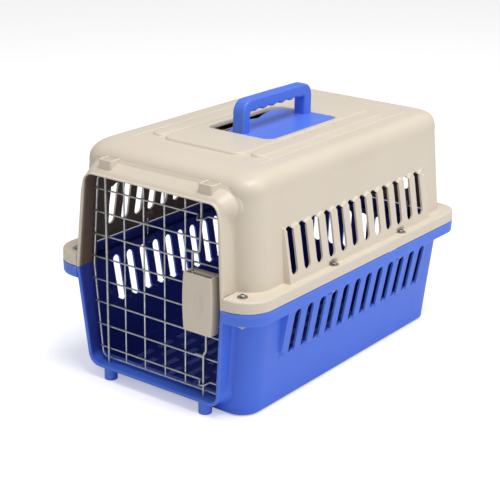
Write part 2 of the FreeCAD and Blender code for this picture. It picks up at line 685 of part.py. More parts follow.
def latch_spring():
    """The coil spring that pushes the upper bolt out, between the base's lug and the bolt."""
    bottom, top, radius, wire = 142.2, 167.8, 1.4, 0.28
    coil = Part.makeHelix((top - bottom - 2 * wire) / 9.0, top - bottom - 2 * wire, radius)
    section = Part.Wire(Part.Circle(vec(radius, 0, 0), vec(0, 1, 0), wire).toShape())
    spring = Part.Wire(coil.Edges).makePipeShell([section], True, True)
    return spring.translated(vec(UPPER_TAIL_X, BOLT_Y, bottom + wire))


# ---- write every piece ---------------------------------------------------------------------
def pieces():
    """Every node of the carrier by name."""
    made = {
        "lower_shell": lower_shell(),
        "upper_shell": upper_shell(),
        "carry_handle": carry_handle(),
        "flange_screws": flange_screws(),
        "flange_washers": flange_washers(),
        "flange_nuts": flange_nuts(),
        "door_frame_wire": door_frame_wire(),
        "door_hinge_rod": hinge_rod(),
        "latch_base": latch_base(),
        "latch_cover": latch_cover(),
        "latch_spring": latch_spring(),
        "upper_bolt": upper_bolt(),
        "lower_bolt": lower_bolt(),
    }
    for number in range(ROWS):
        made["door_row_wire_%d" % (number + 1)] = door_row(number)
    for number, x in enumerate(POSTS_X):
        made["door_post_wire_%d" % (number + 1)] = door_post(x)
    return made


os.makedirs("parts", exist_ok=True)
for name, shape in pieces().items():
    placed = shape.translated(vec(0, -Y_MIDDLE, 0))
    b = placed.BoundBox
    print("%-18s solids %d valid %s volume %.0f  x %.1f %.1f  y %.1f %.1f  z %.1f %.1f" % (
        name, len(placed.Solids), placed.isValid(), placed.Volume,
        b.XMin, b.XMax, b.YMin, b.YMax, b.ZMin, b.ZMax))
    placed.exportStep("parts/%s.step" % name)
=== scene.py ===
import math

import bmesh
import bpy
import numpy as np
from mathutils import Matrix, Vector


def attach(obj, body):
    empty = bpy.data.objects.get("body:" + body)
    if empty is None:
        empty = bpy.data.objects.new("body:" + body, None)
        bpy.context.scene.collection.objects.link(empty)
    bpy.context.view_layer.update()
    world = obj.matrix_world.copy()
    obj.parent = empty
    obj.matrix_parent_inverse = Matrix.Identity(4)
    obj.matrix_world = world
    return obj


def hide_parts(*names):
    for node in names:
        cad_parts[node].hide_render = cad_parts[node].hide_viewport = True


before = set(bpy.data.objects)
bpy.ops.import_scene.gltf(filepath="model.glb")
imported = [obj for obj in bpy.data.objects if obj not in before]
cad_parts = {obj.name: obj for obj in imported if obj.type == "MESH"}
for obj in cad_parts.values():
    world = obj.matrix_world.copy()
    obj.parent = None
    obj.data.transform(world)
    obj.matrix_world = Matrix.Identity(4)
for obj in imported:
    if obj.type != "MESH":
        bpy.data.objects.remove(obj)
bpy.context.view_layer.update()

# ---- sizes, in millimetres; Y is counted from the door lip and moved back by Y_MIDDLE --------
LENGTH = 480.0
FLANGE_HALF = 160.8
FLANGE_RADIUS = 38.0
FLANGE_BACK_RADIUS = 30.0
SEAM_Z = 148.5
SEAM_GAP = 0.35
Y_MIDDLE = 238.75
BODY_HALF = 144.3
BODY_FRONT = 25.6
BODY_BACK = 466.0
BODY_RADIUS = 30.0
BODY_BACK_RADIUS = 26.0
FRONT_DRAFT = 0.03
BACK_DRAFT = 0.045
ROOF_Z = 301.5
SHOULDER_Z = 273.5
SHOULDER_INSETS = (24.0, 45.0, 18.0)
SHOULDER_POWER = 2.8
BOTTOM_ROUND = 6.0
WALL = 2.8
OPEN_HALF = 112.0
OPEN_RADIUS = 12.0
SLOTS = 12
SLOT_PITCH = 26.4
SLOT_HALF = 6.6
PANEL_FRONT_Y = 85.0
PANEL_BACK_Y = 411.0
SCREW_SIDE_Y = (176.0, 334.5)
HATCH = (51.0, 176.0, 328.0, 12.0)             # half width, front, back, corner radius
GRIP_TOP_Z = 345.0
CENTRE_PANEL = (62.5, 99.5, 391.0, 16.0)       # half width, front, back, corner radius
SIDE_STRIP = (66.0, 88.5, 108.5, 388.0, 11.0)  # near and far edge, front, back, corner radius
PANEL_RISE = 3.0
RIDGE = (98.0, 82.0, 426.0, 16.0)              # half width, start, back, corner radius
HOOD_XS = (-78.5, 77.2)
BOSS_XS = (-77.2, 77.2)
BOSS_Y = 18.0
LATCH = (59.5, 100.8, 111.7, 184.4)            # left, right, low and high edge of its cover
LATCH_FACE_Y = -2.5
LATCH_DEPTH = 14.5
# steps across a slot's cell, round a corner, before the back's first cell and across the front
CELL_ACROSS = 6
CORNER_STEPS = 12
BACK_BEFORE = 3
FRONT_STEPS = 20


class Half:
    """The numbers in which the upper and the lower shell differ: which way it goes from the seam,
    the lean of its walls, the height of its half of the flange, the ends of its side slots and
    the place of the first, the ends and the number of its back slots, the far end of its slotted
    panels, the lean of its lip, the far edge of its part of the door opening with the half width
    there, and (height, half width) down the channel beside the collar."""

    def __init__(self, sign, draft, skirt, slot, first_slot, back_slots, panel_end, slope, far,
                 far_half, valley):
        self.sign = sign
        self.draft = draft
        self.skirt = skirt
        self.slot = slot
        self.first_slot = first_slot
        self.back_slots = back_slots
        self.panel_end = panel_end
        self.slope = slope
        self.far = far
        self.far_half = far_half
        self.valley = valley


UPPER = Half(1, 0.083, 15.0, (173.0, 231.0), 97.5, (178.0, 231.0, 7), 232.5, 0.042, 271.0, 102.5,
             ((15.0, 118.6), (91.0, 115.8), (119.5, 113.0), (127.5, 110.0), (134.0, 106.0),
              (137.5, 100.5)))
LOWER = Half(-1, 0.095, 16.0, (126.0, 66.0), 107.0, (127.5, 69.5, 6), 64.0, 0.060, 20.5, 100.0,
             ((16.0, 118.6), (44.5, 118.6), (84.5, 116.0), (104.5, 114.5), (116.5, 110.5),
              (123.5, 104.5)))


# ---- meshes --------------------------------------------------------------------------------
def to_frame(points):
    """Millimetres along the carrier to metres in the shared frame."""
    moved = np.asarray(points, dtype=float).reshape(-1, 3).copy()
    moved[:, 1] -= Y_MIDDLE
    return moved * 0.001


def piece(name, points, faces, material, body, slot):
    """A mesh object with its place in its mesh, riding on a body, in a finish."""
    mesh = bpy.data.meshes.new(name)
    mesh.from_pydata(to_frame(points).tolist(), [], [list(map(int, f)) for f in faces])
    mesh.polygons.foreach_set("use_smooth", [True] * len(mesh.polygons))
    mesh.materials.append(material)
    mesh.update()
    made = bpy.data.objects.new(name, mesh)
    bpy.context.scene.collection.objects.link(made)
    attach(made, body)
    return made


def tidy_mesh(made, outward=True):
    """Merges doubled points and turns faces outward."""
    work = bmesh.new()
    work.from_mesh(made.data)
    bmesh.ops.remove_doubles(work, verts=work.verts, dist=2e-5)
    bmesh.ops.dissolve_degenerate(work, dist=1e-6, edges=work.edges)
    if outward:
        bmesh.ops.recalc_face_normals(work, faces=work.faces)
    work.to_mesh(made.data)
    work.free()
    made.data.update()


def thicken(made, wall, inner=None):
    """Gives a skin its wall, inward, and its inner face a material of its own: the darker colour of
    painted shade.
    """
    solid = made.modifiers.new("wall", "SOLIDIFY")
    solid.thickness = wall * 0.001
    solid.offset = -1.0
    solid.use_even_offset = False
    if inner is not None:
        made.data.materials.append(inner)
        solid.material_offset = 1


def soften(made, width, angle=40.0):
    """Rounds the edges sharper than an angle and evens the shading."""
    bevel = made.modifiers.new("edges", "BEVEL")
    bevel.width = width * 0.001
    bevel.segments = 2
    bevel.limit_method = "ANGLE"
    bevel.angle_limit = math.radians(angle)
    bevel.use_clamp_overlap = True
    bevel.miter_outer = "MITER_ARC"
    even = made.modifiers.new("shade", "WEIGHTED_NORMAL")
    even.keep_sharp = True
    even.weight = 60


def grid_faces(rows, columns, closed_rows=False, closed_columns=False):
    """Quads of a rows x columns grid of points numbered row by row."""
    r = np.arange(rows if closed_rows else rows - 1)
    c = np.arange(columns if closed_columns else columns - 1)
    r, c = np.meshgrid(r, c, indexing="ij")
    a = r * columns + c
    b = r * columns + (c + 1) % columns
    d = ((r + 1) % rows) * columns + c
    e = ((r + 1) % rows) * columns + (c + 1) % columns
    return np.stack([a, b, e, d], axis=-1).reshape(-1, 4)


def ring_quads(previous, now):
    """Quads between two rings of matching points."""
    return np.stack([previous, np.roll(previous, -1), np.roll(now, -1), now], axis=1)


def capped_band(count, places):
    """Faces of a section of count points carried through places, closed round it and at both
    ends."""
    faces = grid_faces(count, places, closed_rows=True).tolist()
    faces.append((np.arange(count) * places).tolist())
    faces.append((np.arange(count)[::-1] * places + places - 1).tolist())
    return faces


def smooth_step(low, high, value):
    """0 below low, 1 above high, and a soft S between."""
    t = np.clip((value - low) / (high - low), 0.0, 1.0)
    return t * t * (3.0 - 2.0 * t)


def rounded_outline(half, front, back, radius):
    """Points round a rounded rectangle, from the front's middle to the right side, the back, the
    left side and round: so many each on half the front, a corner, a side and the back."""
    front_n, corner_n, side_n, back_n = 8, 8, 40, 16
    out = []

    def line(a, b, n):
        t = np.arange(n)[:, None] / n
        out.append(np.array(a) * (1 - t) + np.array(b) * t)

    def corner(x, y, start, n):
        turn = np.radians(start) + np.arange(n) / n * np.pi / 2
        out.append(np.stack([x + radius * np.cos(turn), y + radius * np.sin(turn)], axis=1))

    h, f, b, r = half, front, back, radius
    line((0, f), (h - r, f), front_n)
    corner(h - r, f + r, -90, corner_n)
    line((h, f + r), (h, b - r), side_n)
    corner(h - r, b - r, 0, corner_n)
    line((h - r, b), (-h + r, b), back_n)
    corner(-h + r, b - r, 90, corner_n)
    line((-h, b - r), (-h, f + r), side_n)
    corner(-h + r, f + r, 180, corner_n)
    line((-h + r, f), (0, f), front_n)
    return np.concatenate(out)


# ---- shell bodies --------------------------------------------------------------------------
def wall_half(part, rise):
    """Half width of the side wall at a height above (or depth below) the seam."""
    return BODY_HALF - part.draft * rise


def tongue_rise(part, y, rise):
    """How far the slotted panel stands out of the side wall: a wedge, deepest at the flange, cut
    into tongues whose far ends are round arches between the slots."""
    end = abs(part.panel_end - SEAM_Z)
    foot = part.skirt
    share = np.clip((end - rise) / (end - foot), 0.0, 1.0)
    depth = 2.4 + 6.0 * share
    middle = np.round((y - part.first_slot) / SLOT_PITCH - 0.5) + 0.5
    across = y - (part.first_slot + middle * SLOT_PITCH)
    arch = 8.2
    reach = np.hypot(across, np.maximum(rise - (end - arch), 0.0))
    inside = 1.0 - smooth_step(arch - 1.0, arch + 0.2, reach)
    inside = np.where(rise < end - arch, 1.0, inside)
    ends = smooth_step(PANEL_FRONT_Y - 0.6, PANEL_FRONT_Y + 0.8, y)
    ends = ends * (1.0 - smooth_step(PANEL_BACK_Y - 1.5, PANEL_BACK_Y + 1.5, y))
    room = 1.0
    for screw in SCREW_SIDE_Y:
        near = np.hypot((y - screw) / 8.8, (rise - foot) / 6.8)
        room = room * smooth_step(0.72, 1.0, near)
    pocket = np.maximum(depth - 4.0, 0.0)
    return (depth - pocket * (1.0 - room)) * inside * ends


def side_lines(part):
    """The Y stations along a side wall: before the panel, the slot cells, after the panel.
    Returns the stations and the index at which each cell starts."""
    first = part.first_slot - SLOT_PITCH / 2
    edges = first + np.arange(SLOTS + 1) * SLOT_PITCH
    edges[0] = PANEL_FRONT_Y + 1.0
    before = np.concatenate([np.linspace(57.0, PANEL_FRONT_Y - 0.8, 6),
                             [PANEL_FRONT_Y + 0.1]])
    lines = [before]
    starts = []
    count = len(before)
    for a, b in zip(edges[:-1], edges[1:]):
        starts.append(count)
        lines.append(np.linspace(a, b, CELL_ACROSS + 1)[:-1])
        count += CELL_ACROSS
    if edges[-1] > PANEL_BACK_Y - 3.0:
        lines[-1] = np.linspace(edges[-2], PANEL_BACK_Y - 2.4, CELL_ACROSS + 1)[:-1]
        edges[-1] = PANEL_BACK_Y - 2.4
    lines.append(np.array([edges[-1], PANEL_BACK_Y - 1.6, PANEL_BACK_Y,
                           PANEL_BACK_Y + 1.6, 420.0, 430.0, 440.0]))
    return np.concatenate(lines), starts


def back_stations(part, reach):
    """The X stations along the back wall from right to left: a few before the slot cells, the
    cells, and a few after them; reach is where the wall's flat part ends."""
    count = part.back_slots[2]
    edge = min(count * SLOT_PITCH / 2, 0.86 * reach)
    cells = np.linspace(edge, -edge, count * CELL_ACROSS + 1)
    before = np.linspace(reach, edge, BACK_BEFORE + 2)[1:-1]
    return np.concatenate([before, cells, -before[::-1]])


def shell_rows(part):
    """The heights of the wall rows from the flange to the shoulder, and the rows at which the
    slot cells start and end."""
    low = abs(part.slot[0] - SEAM_Z)
    high = abs(part.slot[1] - SEAM_Z)
    below = part.skirt + np.array([1.6, 3.0, 4.6]) if part is UPPER else np.array([])
    first = low - 3.4
    cell = np.concatenate([np.linspace(first, high - 12.0, 14)[:-1],
                           np.linspace(high - 12.0, high + 4.5, 12)])
    start = len(below)
    return np.concatenate([below, cell]), start, start + len(cell) - 1


def closed_ring(part, corner, sides, level, half, front_end, back, tail):
    """A ring from its right front corner round to the left one, the left half mirroring the right:
    the corner's points, the stations along the side, the back corner and the back's stations. The
    side's stations are drawn to an even spacing near its ends, and all along it by level."""
    share = (sides - sides[0]) / (sides[-1] - sides[0])
    even = front_end + share * (back - tail - front_end)
    side_y = sides * (1 - level) + even * level
    side_y = np.where(share < 0.06, even * (1 - share / 0.06) + side_y * (share / 0.06), side_y)
    side_y = np.where(share > 0.96, even + (side_y - even) * (1 - share) / 0.04, side_y)
    turn = np.linspace(0, math.pi / 2, CORNER_STEPS + 1)[1:]
    right = np.concatenate([
        corner,
        np.column_stack([np.full_like(side_y, half), side_y]),
        np.column_stack([half - tail + tail * np.cos(turn), back - tail + tail * np.sin(turn)])])
    across = back_stations(part, half - tail)
    middle = np.column_stack([across, np.full_like(across, back)])
    return np.concatenate([right, middle, right[::-1] * np.array([-1.0, 1.0])])


def outline_at(part, rise, sides, f_in=0.0, s_in=0.0, b_in=0.0, radius=BODY_RADIUS, hole=None):
    """One ring of the shell at a height: right valley, right corner, right side, back, left side
    and left corner, left valley; hole is the half width at which the ring stops in front."""
    half = wall_half(part, rise) - s_in
    front = BODY_FRONT + FRONT_DRAFT * rise + f_in
    back = BODY_BACK - BACK_DRAFT * rise - b_in
    stop = 0.0
    if hole is not None:
        stop = math.asin(min(max((hole - (half - radius)) / radius, 0.0), 1.0))
    turn = np.linspace(stop, math.pi / 2, CORNER_STEPS + 1)[:-1]
    corner = np.column_stack([half - radius + radius * np.sin(turn),
                              front + radius - radius * np.cos(turn)])
    level = np.clip((abs(rise) - 95.0) / 30.0, 0.0, 1.0) if part is UPPER else 0.0
    tail = radius - BODY_RADIUS + BODY_BACK_RADIUS
    return closed_ring(part, corner, sides, level, half, front + radius, back, tail)


def flange_ring(part, sides, inset):
    """The flange's outline with one point per station of the wall rings."""
    half, front, back = FLANGE_HALF - inset, inset, LENGTH - inset
    radius = FLANGE_RADIUS - inset
    turn = np.linspace(0.0, math.pi / 2, CORNER_STEPS)[:-1]
    corner = np.column_stack([half - radius + radius * np.sin(turn),
                              front + radius - radius * np.cos(turn)])
    corner = np.concatenate([[[OPEN_HALF + 4.2, front]], corner])
    tail = FLANGE_BACK_RADIUS - inset
    return closed_ring(part, corner, sides, 0.0, half, front + radius, back, tail)


def with_tongues(part, ring, rise, sides):
    """Moves the side stations of a ring out by the tongues."""
    n = CORNER_STEPS
    m = len(sides)
    moved = ring.copy()
    right = slice(n, n + m)
    left = slice(len(ring) - n - m, len(ring) - n)
    moved[right, 0] += tongue_rise(part, ring[right, 1], rise)
    moved[left, 0] -= tongue_rise(part, ring[left, 1], rise)
    return moved


def slot_ring(part, y, slot, toward=1.0):
    """A slot's outline, one point per point of its cell's border, in the same order: along the
    foot, up the far side, back along the end, down the near side. toward is the direction in
    which the stations run."""
    heights, start, end = shell_rows(part)
    heights = heights[start:end + 1]
    radius = SLOT_HALF
    low = abs(slot[0] - SEAM_Z) + SLOT_HALF
    high = abs(slot[1] - SEAM_Z) - SLOT_HALF
    down = heights[heights <= low]
    up = heights[heights >= high]
    mid = heights[(heights > low) & (heights < high)]
    foot_n = 2 * len(down) + CELL_ACROSS - 1
    top_n = 2 * len(up) + CELL_ACROSS - 1
    foot = np.linspace(-math.pi, 0.0, foot_n)
    top = np.linspace(0.0, math.pi, top_n)
    foot = np.stack([y + radius * np.cos(foot), low + radius * np.sin(foot)], axis=1)
    top = np.stack([y + radius * np.cos(top), high + radius * np.sin(top)], axis=1)
    far = np.stack([np.full_like(mid, y + radius), mid], axis=1)
    near = np.stack([np.full_like(mid, y - radius), mid], axis=1)[::-1]
    whole = np.concatenate([foot, far, top, near])
    whole[:, 0] = y + (whole[:, 0] - y) * toward
    return np.roll(whole, -(len(down) - 1), axis=0)


def shell_skin(part):
    """The outer skin of a shell: rings at rising heights, joined ring to ring, with each slot cell
    taken out and filled with rings that close in on the slot's outline."""
    sides, starts = side_lines(part)
    heights, cell_low, cell_high = shell_rows(part)
    sign = part.sign
    skirt = part.skirt
    rings = []
    levels = []

    def add(ring, level):
        rings.append(ring)
        levels.append(np.broadcast_to(np.asarray(level, dtype=float), (len(ring),)))

    valley_z = np.array([v[0] for v in part.valley])
    valley_x = np.array([v[1] for v in part.valley])

    def hole(rise):
        return float(np.interp(rise, valley_z, valley_x)) - 3.2

    foot = with_tongues(part, outline_at(part, skirt, sides, hole=hole(skirt)), skirt, sides)
    gap = SEAM_GAP if sign > 0 else 0.0
    add(flange_ring(part, sides, 0.9), gap)
    add(flange_ring(part, sides, 0.35), gap + 0.25)
    add(flange_ring(part, sides, 0.0), gap + 0.7)
    add(flange_ring(part, sides, 0.15), skirt * 0.4)
    edge = 2.6
    for turn in np.linspace(0, math.pi / 2, 5):
        add(flange_ring(part, sides, 0.3 + edge * (1 - math.cos(turn))),
            skirt - edge + edge * math.sin(turn))
    rim = rings[-1]
    for share in (0.3, 0.6, 0.82):
        add(rim * (1 - share) + foot * share, skirt)
    add(rim * 0.07 + foot * 0.93, skirt + 0.25)
    add(rim * 0.02 + foot * 0.98, skirt + 0.9)
    ledge = len(rings)
    for rise in heights:
        ring = outline_at(part, rise, sides, hole=hole(rise))
        add(with_tongues(part, ring, rise, sides), rise)
    last = heights[-1]
    if part is UPPER:
        straight = SHOULDER_Z - SEAM_Z
        steps = np.linspace(last, straight, 12)[1:]
        height = ROOF_Z - SHOULDER_Z
        turns = SHOULDER_INSETS
        power = SHOULDER_POWER
        count = 18
    else:
        straight = SEAM_Z - BOTTOM_ROUND
        closing = valley_z[-1]
        steps = np.concatenate([np.linspace(last, closing, 10)[1:],
                                np.linspace(closing, straight, 5)[1:]])
        height = BOTTOM_ROUND
        turns = (BOTTOM_ROUND,) * 3
        power = 2.0
        count = 6
    for rise in steps:
        closed = part is LOWER and rise > valley_z[-1] + 0.5
        add(outline_at(part, rise, sides, hole=None if closed else hole(rise)), rise)
    for i in range(1, count + 1):
        turn = math.pi / 2 * i / count
        in_share = 1 - max(math.cos(turn), 0.0) ** (2 / power)
        drawn = [t * in_share for t in turns]
        rise = straight + height * math.sin(turn) ** (2 / power)
        radius = BODY_RADIUS - 5.0 * i / count if part is UPPER else BODY_RADIUS - 8.0 * i / count
        closed = rise >= valley_z[-1]
        add(outline_at(part, straight, sides, drawn[1], drawn[0], drawn[2],
                       radius, None if closed else hole(rise)), rise)
    return rings, levels, ledge, sides, starts, cell_low, cell_high


def cell_border(along, up, columns):
    """The numbers of the points round a slot cell: along its foot, up its far side, back along
    its end and down its near side."""
    return np.concatenate([
        up[0] * columns + along[:-1],
        up[:-1] * columns + along[-1],
        up[-1] * columns + along[::-1][:-1],
        up[::-1][:-1] * columns + along[0],
    ])


def slot_patch(border, outer, inner, start, lay):
    """Rings that close in from a cell's border on the slot's outline: growing shares of the way
    from the one to the other, laid on the wall. Returns their points and quads."""
    points, quads = [], []
    previous = border
    for share in (0.35, 0.62, 0.82, 0.93, 1.0):
        points.append(lay(outer * (1 - share) + inner * share))
        now = start + np.arange(len(border))
        start += len(border)
        quads.append(ring_quads(previous, now))
        previous = now
    return np.concatenate(points), np.concatenate(quads)


def slot_cells(part, sides, starts, columns):
    """Every slot's cell: the columns that it spans, the axis that they run along, the way its
    faces turn, the slot's outline, and what lays (place along the wall, rise) on the wall."""
    def side_wall(side):
        def lay(flat):
            half = wall_half(part, flat[:, 1]) + tongue_rise(part, flat[:, 0], flat[:, 1])
            return np.column_stack([side * half, flat[:, 0], SEAM_Z + part.sign * flat[:, 1]])
        return lay

    def back_wall(flat):
        return np.column_stack([flat[:, 0], BODY_BACK - BACK_DRAFT * flat[:, 1],
                                SEAM_Z + part.sign * flat[:, 1]])

    width = np.arange(CELL_ACROSS + 1)
    cells = []
    for side in (1, -1):
        for number, start in enumerate(starts):
            first = CORNER_STEPS + start if side > 0 else columns - 1 - CORNER_STEPS - start
            outline = slot_ring(part, part.first_slot + number * SLOT_PITCH, part.slot)
            cells.append((first + side * width, 1, side, outline, side_wall(side)))
    count = part.back_slots[2]
    for number in range(count):
        first = CORNER_STEPS + len(sides) + CORNER_STEPS + BACK_BEFORE + number * CELL_ACROSS
        place = ((count - 1) / 2 - number) * SLOT_PITCH
        outline = slot_ring(part, place, part.back_slots, -1.0)
        cells.append((first + width, 0, 1, outline, back_wall))
    return cells


def build_shell(part, name, material, inner_painted_shade, slot_name):
    """Assembles the skin of a shell, gives it its wall and rounds its edges."""
    rings, levels, ledge, sides, starts, cell_low, cell_high = shell_skin(part)
    sign = part.sign
    columns = len(rings[0])
    points = np.concatenate([np.column_stack([ring, SEAM_Z + sign * level])
                             for ring, level in zip(rings, levels)])
    faces = grid_faces(len(rings), columns)
    row = faces[:, 0] // columns
    column = faces[:, 0] % columns
    keep = np.ones(len(faces), dtype=bool)
    low, high = ledge + cell_low, ledge + cell_high
    up = np.arange(low, high + 1)
    extra_points = []
    extra_faces = []
    total = len(points)
    for along, axis, turned, outline, lay in slot_cells(part, sides, starts, columns):
        keep &= ~((row >= low) & (row < high) & (column >= along.min()) & (column < along.max()))
        border = cell_border(along, up, columns)
        outer = np.column_stack([points[border][:, axis], (points[border][:, 2] - SEAM_Z) * sign])
        patch, quads = slot_patch(border, outer, outline, total, lay)
        total += len(patch)
        extra_points.append(patch)
        extra_faces.append(quads[:, ::turned])
    faces = [faces[keep]] + extra_faces
    points = np.concatenate([points] + extra_points)
    # the front above (or below) the opening, and the roof or the floor
    closed_rows = [i for i in range(len(rings))
                   if i > ledge and levels[i][0] >= part.valley[-1][0]]
    last_index = None
    for i in closed_rows:
        t = np.linspace(0, 1, FRONT_STEPS + 1)[1:-1, None]
        line = rings[i][-1] * (1 - t) + rings[i][0] * t
        line = np.column_stack([line, np.full(len(line), SEAM_Z + sign * levels[i][0])])
        index = len(points) + np.arange(len(line))
        points = np.concatenate([points, line])
        index = np.concatenate([[i * columns + columns - 1], index, [i * columns]])
        if last_index is not None:
            faces.append(np.stack([last_index[:-1], last_index[1:], index[1:], index[:-1]], axis=1))
        last_index = index
    top = len(rings) - 1
    previous = np.concatenate([top * columns + np.arange(columns), last_index[1:-1]])
    ring = points[previous]
    if part is UPPER:
        flat = ring[:, :2]
        target = nearest_on_outline(flat, *HATCH)
        plan = ((0.25, 0.0), (0.5, 0.0), (0.72, 0.0), (0.88, 0.0), (0.955, 0.0), (0.975, 0.1),
                (0.99, 0.8), (0.998, 1.8), (1.0, 3.2), (1.0, 7.0), (1.0, 11.0))
        layers = [np.column_stack([flat * (1 - share) + target * share,
                                   np.full(len(flat), ROOF_Z - drop)]) for share, drop in plan]
    else:
        centre = np.array([0.0, (BODY_FRONT + BODY_BACK) / 2, 0.0])
        layers = [ring * (1 - share) + centre * share for share in (0.2, 0.5, 0.8)]
    for layer in layers:
        now = len(points) + np.arange(len(layer))
        points = np.concatenate([points, layer])
        faces.append(ring_quads(previous, now))
        previous = now
    if part is LOWER:
        points = np.concatenate([points, centre[None]])
        hub = np.full(len(previous), len(points) - 1)
        faces.append(np.stack([previous, np.roll(previous, -1), hub], axis=1))
    faces = [f for block in faces for f in block.tolist()]
    if sign < 0:
        faces = [f[::-1] for f in faces]
    made = piece(name, points, faces, material, "shell", slot_name)
    tidy_mesh(made, outward=False)
    # the inner face takes the darker colour of painted shade
    thicken(made, WALL, inner_painted_shade)
    soften(made, 0.7)
    return made


def nearest_on_outline(flat, half, front, back, radius):
    """For each point round the roof, the matching point of the hatch's outline: clamped to the
    outline's straight sides, and turned round its corners."""
    middle = np.array([0.0, (front + back) / 2])
    size = np.array([half, (back - front) / 2])
    low, high = flat[:, 1].min(), flat[:, 1].max()
    spread = np.array([np.abs(flat[:, 0]).max(), (high - low) / 2])
    unit = (flat - np.array([0.0, (high + low) / 2])) / spread
    square = unit / np.abs(unit).max(axis=1, keepdims=True)
    target = middle + square * size
    inner = middle + np.clip(target - middle, -(size - radius), size - radius)
    away = target - inner
    length = np.linalg.norm(away, axis=1, keepdims=True)
    both = (np.abs(target - middle) > size - radius - 1e-9).all(axis=1)
    turned = (length[:, 0] > 1e-9) & both
    return np.where(turned[:, None], inner + away / np.maximum(length, 1e-9) * radius, target)


# ---- raised roof panels --------------------------------------------------------------------
def plateau_edge(rise):
    """(inset, height) from under the roof through a soft S to the top of a plateau."""
    return [(0.0, -0.8), (0.3, -0.2), (0.9, 0.35 * rise), (1.7, 0.8 * rise), (2.6, 0.97 * rise),
            (3.8, rise)]


def raised_panel(x0, x1, front, back, radius):
    """A low plateau: its outline shrinks through a soft S from the roof to its top."""
    middle = (x0 + x1) / 2
    half = (x1 - x0) / 2
    layers = []
    for inset, z in plateau_edge(PANEL_RISE) + [(half * 0.5, PANEL_RISE), (half * 0.8, PANEL_RISE)]:
        turned = min(max(radius - inset, 1.0), half - inset - 0.01)
        ring = rounded_outline(half - inset, front + inset, back - inset, turned)
        layers.append(np.column_stack([ring[:, 0] + middle, ring[:, 1],
                                       np.full(len(ring), ROOF_Z + z)]))
    n = len(layers[0])
    faces = grid_faces(len(layers), n, closed_columns=True).tolist()
    faces.append((np.arange(n) + (len(layers) - 1) * n).tolist())
    faces.append(np.arange(n)[::-1].tolist())
    return np.concatenate(layers), faces


def join(parts):
    """Several (points, faces) as one."""
    points, faces, start = [], [], 0
    for p, f in parts:
        points.append(np.asarray(p, dtype=float).reshape(-1, 3))
        faces += [[int(i) + start for i in face] for face in f]
        start += len(points[-1])
    return np.concatenate(points), faces


def centre_panel():
    """The raised middle panel as a frame round the hatch: rings from its outer edge to the hatch
    rim."""
    half, front, back, radius = HATCH
    wide, start, end, corner = CENTRE_PANEL
    rise = PANEL_RISE

    def rim(grow):
        return rounded_outline(half + grow, front - grow, back + grow, radius + grow)

    layers = [(rounded_outline(wide - inset, start + inset, end - inset, corner - inset), z)
              for inset, z in plateau_edge(rise)]
    outer = layers[-1][0]
    layers += [(outer * (1 - share) + rim(3.0) * share, rise) for share in (0.33, 0.66)]
    layers += [(rim(grow), z) for grow, z in (
        (3.0, rise), (2.0, rise - 0.1), (1.0, rise - 0.5), (0.3, rise - 1.2), (0.0, rise - 2.2),
        (0.0, -2.0), (0.0, -9.5), (2.4, -9.5))]
    points = np.concatenate([np.column_stack([ring, np.full(len(ring), ROOF_Z + z)])
                             for ring, z in layers])
    faces = grid_faces(len(layers), len(outer), closed_rows=True, closed_columns=True)
    return points, faces.tolist()


def roof_ridge():
    """A low ridge round three sides of the roof: a half-round section carried down one side,
    round the back corners and up the other side, sinking in at both ends."""
    half, start, back, radius = RIDGE
    side = np.linspace(start, back - radius, 60)
    turn = np.linspace(0, math.pi / 2, 12)[1:-1]
    right = np.concatenate([
        np.stack([np.full(60, half), side], axis=1),
        np.stack([half - radius + radius * np.cos(turn),
                  back - radius + radius * np.sin(turn)], axis=1)])
    across = np.linspace(half - radius, -(half - radius), 40)
    path = np.concatenate([right, np.stack([across, np.full(40, back)], axis=1),
                           right[::-1] * np.array([-1.0, 1.0])])
    along = np.gradient(path, axis=0)
    along /= np.linalg.norm(along, axis=1, keepdims=True)
    outward = np.stack([along[:, 1], -along[:, 0]], axis=1)
    height = 0.7 * smooth_step(start, start + 14.0, path[:, 1])
    rows = []
    for offset, lift in ((-2.2, -0.7), (-1.5, 0.25), (-0.8, 0.8), (0.0, 1.0), (0.8, 0.8),
                         (1.5, 0.25), (2.2, -0.7)):
        z = ROOF_Z + lift * height if lift > 0 else np.full(len(path), ROOF_Z + lift)
        rows.append(np.column_stack([path + outward * offset, z]))
    return np.concatenate(rows), capped_band(len(rows), len(path))


# ---- door collar ---------------------------------------------------------------------------
def opening_path(part, grow):
    """Half of the opening's outline from the right of the seam over the far end to the left:
    straight leaning sides, round corners, straight end. Returns (x, z) in matching points."""
    far = abs(part.far - SEAM_Z) + grow
    far_half = part.far_half + grow
    half = OPEN_HALF + grow
    radius = OPEN_RADIUS + grow
    lean = (half - far_half) / far
    shoulder = far - radius
    side = far_half + lean * radius
    t = np.linspace(0, 1, 25)[:-1]
    x = half + (side - half) * t
    z = shoulder * t
    turn = np.linspace(0, math.pi / 2, 15)[:-1]
    cx = side - radius
    corner_x = cx + radius * np.cos(turn)
    corner_z = shoulder + radius * np.sin(turn)
    across = np.linspace(cx, 0, 17)
    x = np.concatenate([x, corner_x, across])
    z = np.concatenate([z, corner_z, np.full_like(across, far)])
    x = np.concatenate([x, -x[::-1][1:]])
    z = np.concatenate([z, z[::-1][1:]])
    return x, z


def body_front(part, x, rise):
    """Depth of the body's front face and its round corner at a place."""
    flat = wall_half(part, rise) - BODY_RADIUS
    past = np.clip(np.abs(x) - flat, 0.0, BODY_RADIUS - 1.0)
    return BODY_FRONT + FRONT_DRAFT * rise + BODY_RADIUS - np.sqrt(BODY_RADIUS ** 2 - past ** 2)


